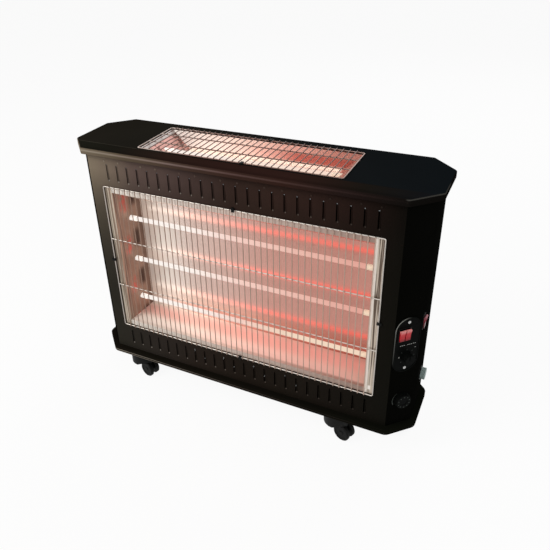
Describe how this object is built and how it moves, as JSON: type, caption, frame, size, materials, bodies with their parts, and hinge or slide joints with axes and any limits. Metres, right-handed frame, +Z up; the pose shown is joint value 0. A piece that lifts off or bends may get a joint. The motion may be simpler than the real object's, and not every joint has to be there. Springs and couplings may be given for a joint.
{
  "type": "electric bar heater",
  "caption": "Upright octagonal electric heater with quartz tubes in a deep reflector, wire guards in front and on top, rotary and rocker controls, on swivel castors.",
  "frame": {"origin": "on the floor under the middle of the casing", "axes": "+X to the control end, -Y out of the front window, +Z up"},
  "size_m": [0.702, 0.182, 0.5473],
  "materials": {
    "black_shell": "satin baked enamel",
    "bronze_black": "satin baked enamel with a warm sheen",
    "galvanised": "plain galvanised sheet",
    "mirror": "polished aluminium sheet",
    "quartz": "milky quartz glass, glowing",
    "coil": "resistance wire winding, glowing",
    "ceramic": "white steatite ceramic",
    "wire": "bright chrome plating",
    "black_plastic": "fine grain",
    "gloss_black": "gloss",
    "red_plastic": "gloss",
    "pale_plastic": "satin translucent",
    "screw": "bright zinc",
    "rivet": "satin",
    "insulation": "silicone lead sleeve",
    "block": "moulded",
    "blue_plastic": "moulded",
    "brass": "plain",
    "tyre": "matt"
  },
  "bodies": {
    "casing": {"base_tray": "black_shell", "top_cover": "black_shell", "front_panel": "bronze_black", "back_panel": "black_shell", "left_end_panel": "black_shell", "right_end_panel": "black_shell", "left_bulkhead": "galvanised", "right_bulkhead": "galvanised", "front_rail": "galvanised", "panel_rivets": "rivet", "back_screws": "screw", "main_reflector": "mirror", "left_reflector_end": "mirror", "right_reflector_end": "mirror", "top_reflector": "mirror", "tube_1": "quartz", "tube_2": "quartz", "tube_3": "quartz", "top_tube": "quartz", "element_1": "coil", "element_2": "coil", "element_3": "coil", "top_element": "coil", "front_tube_caps": "ceramic", "top_tube_caps": "ceramic", "front_guard_frame": "wire", "front_guard_wires": "wire", "top_guard_frame": "wire", "top_guard_wires": "wire", "guard_clips": "black_plastic", "control_plate": "gloss_black", "plate_screws": "screw", "double_switch": "black_plastic", "selector_switch": "black_plastic", "thermostat": "black_plastic", "end_switch": "black_plastic", "end_timer": "black_plastic", "terminal_block": "block", "tilt_switch": "blue_plastic", "thermal_cutout": "brass", "left_wiring": "insulation", "right_wiring": "insulation", "cord_inlet": "black_plastic", "castor_sockets": "galvanised"},
    "left_rocker": {"left_rocker": "red_plastic"},
    "right_rocker": {"right_rocker": "red_plastic"},
    "end_rocker": {"end_rocker": "red_plastic"},
    "selector": {"selector_knob": "gloss_black"},
    "thermostat_dial": {"thermostat_dial": "gloss_black"},
    "end_knob": {"end_knob": "pale_plastic"},
    "castor_1": {"castor_body_1": "black_plastic"},
    "wheel_1": {"castor_wheel_1": "tyre"},
    "castor_2": {"castor_body_2": "black_plastic"},
    "wheel_2": {"castor_wheel_2": "tyre"},
    "castor_3": {"castor_body_3": "black_plastic"},
    "wheel_3": {"castor_wheel_3": "tyre"},
    "castor_4": {"castor_body_4": "black_plastic"},
    "wheel_4": {"castor_wheel_4": "tyre"}
  },
  "joints": [
    {"name": "left_rocker_press", "type": "hinge", "parent": "casing", "child": "left_rocker", "pos_m": [0.31344, -0.07154, 0.283], "axis": [0.7071, 0.7071, 0], "range_deg": [-16, 0]},
    {"name": "right_rocker_press", "type": "hinge", "parent": "casing", "child": "right_rocker", "pos_m": [0.32122, -0.06376, 0.283], "axis": [0.7071, 0.7071, 0], "range_deg": [-16, 0]},
    {"name": "end_rocker_press", "type": "hinge", "parent": "casing", "child": "end_rocker", "pos_m": [0.3397, -0.031, 0.293], "axis": [0, 1, 0], "range_deg": [-16, 0]},
    {"name": "selector_turn", "type": "hinge", "parent": "casing", "child": "selector", "pos_m": [0.32256, -0.06044, 0.233], "axis": [0.7071, -0.7071, 0], "range_deg": [0, 270]},
    {"name": "thermostat_turn", "type": "hinge", "parent": "casing", "child": "thermostat_dial", "pos_m": [0.32327, -0.05973, 0.132], "axis": [0.7071, -0.7071, 0], "range_deg": [0, 300]},
    {"name": "end_knob_turn", "type": "hinge", "parent": "casing", "child": "end_knob", "pos_m": [0.345, 0.008, 0.147], "axis": [1, 0, 0], "range_deg": [0, 300]},
    {"name": "castor_1_swivel", "type": "hinge", "parent": "casing", "child": "castor_1", "pos_m": [-0.255, -0.061, 0.05], "axis": [0, 0, 1], "continuous": true},
    {"name": "wheel_1_roll", "type": "hinge", "parent": "castor_1", "child": "wheel_1", "pos_m": [-0.23665, -0.06592, 0.018], "axis": [0.2588, 0.9659, 0], "continuous": true},
    {"name": "castor_2_swivel", "type": "hinge", "parent": "casing", "child": "castor_2", "pos_m": [0.205, -0.061, 0.05], "axis": [0, 0, 1], "continuous": true},
    {"name": "wheel_2_roll", "type": "hinge", "parent": "castor_2", "child": "wheel_2", "pos_m": [0.22285, -0.0675, 0.018], "axis": [0.342, 0.9397, 0], "continuous": true},
    {"name": "castor_3_swivel", "type": "hinge", "parent": "casing", "child": "castor_3", "pos_m": [-0.255, 0.061, 0.05], "axis": [0, 0, 1], "continuous": true},
    {"name": "wheel_3_roll", "type": "hinge", "parent": "castor_3", "child": "wheel_3", "pos_m": [-0.23665, 0.06592, 0.018], "axis": [-0.2588, 0.9659, 0], "continuous": true},
    {"name": "castor_4_swivel", "type": "hinge", "parent": "casing", "child": "castor_4", "pos_m": [0.205, 0.061, 0.05], "axis": [0, 0, 1], "continuous": true},
    {"name": "wheel_4_roll", "type": "hinge", "parent": "castor_4", "child": "wheel_4", "pos_m": [0.22285, 0.0675, 0.018], "axis": [-0.342, 0.9397, 0], "continuous": true}
  ]
}
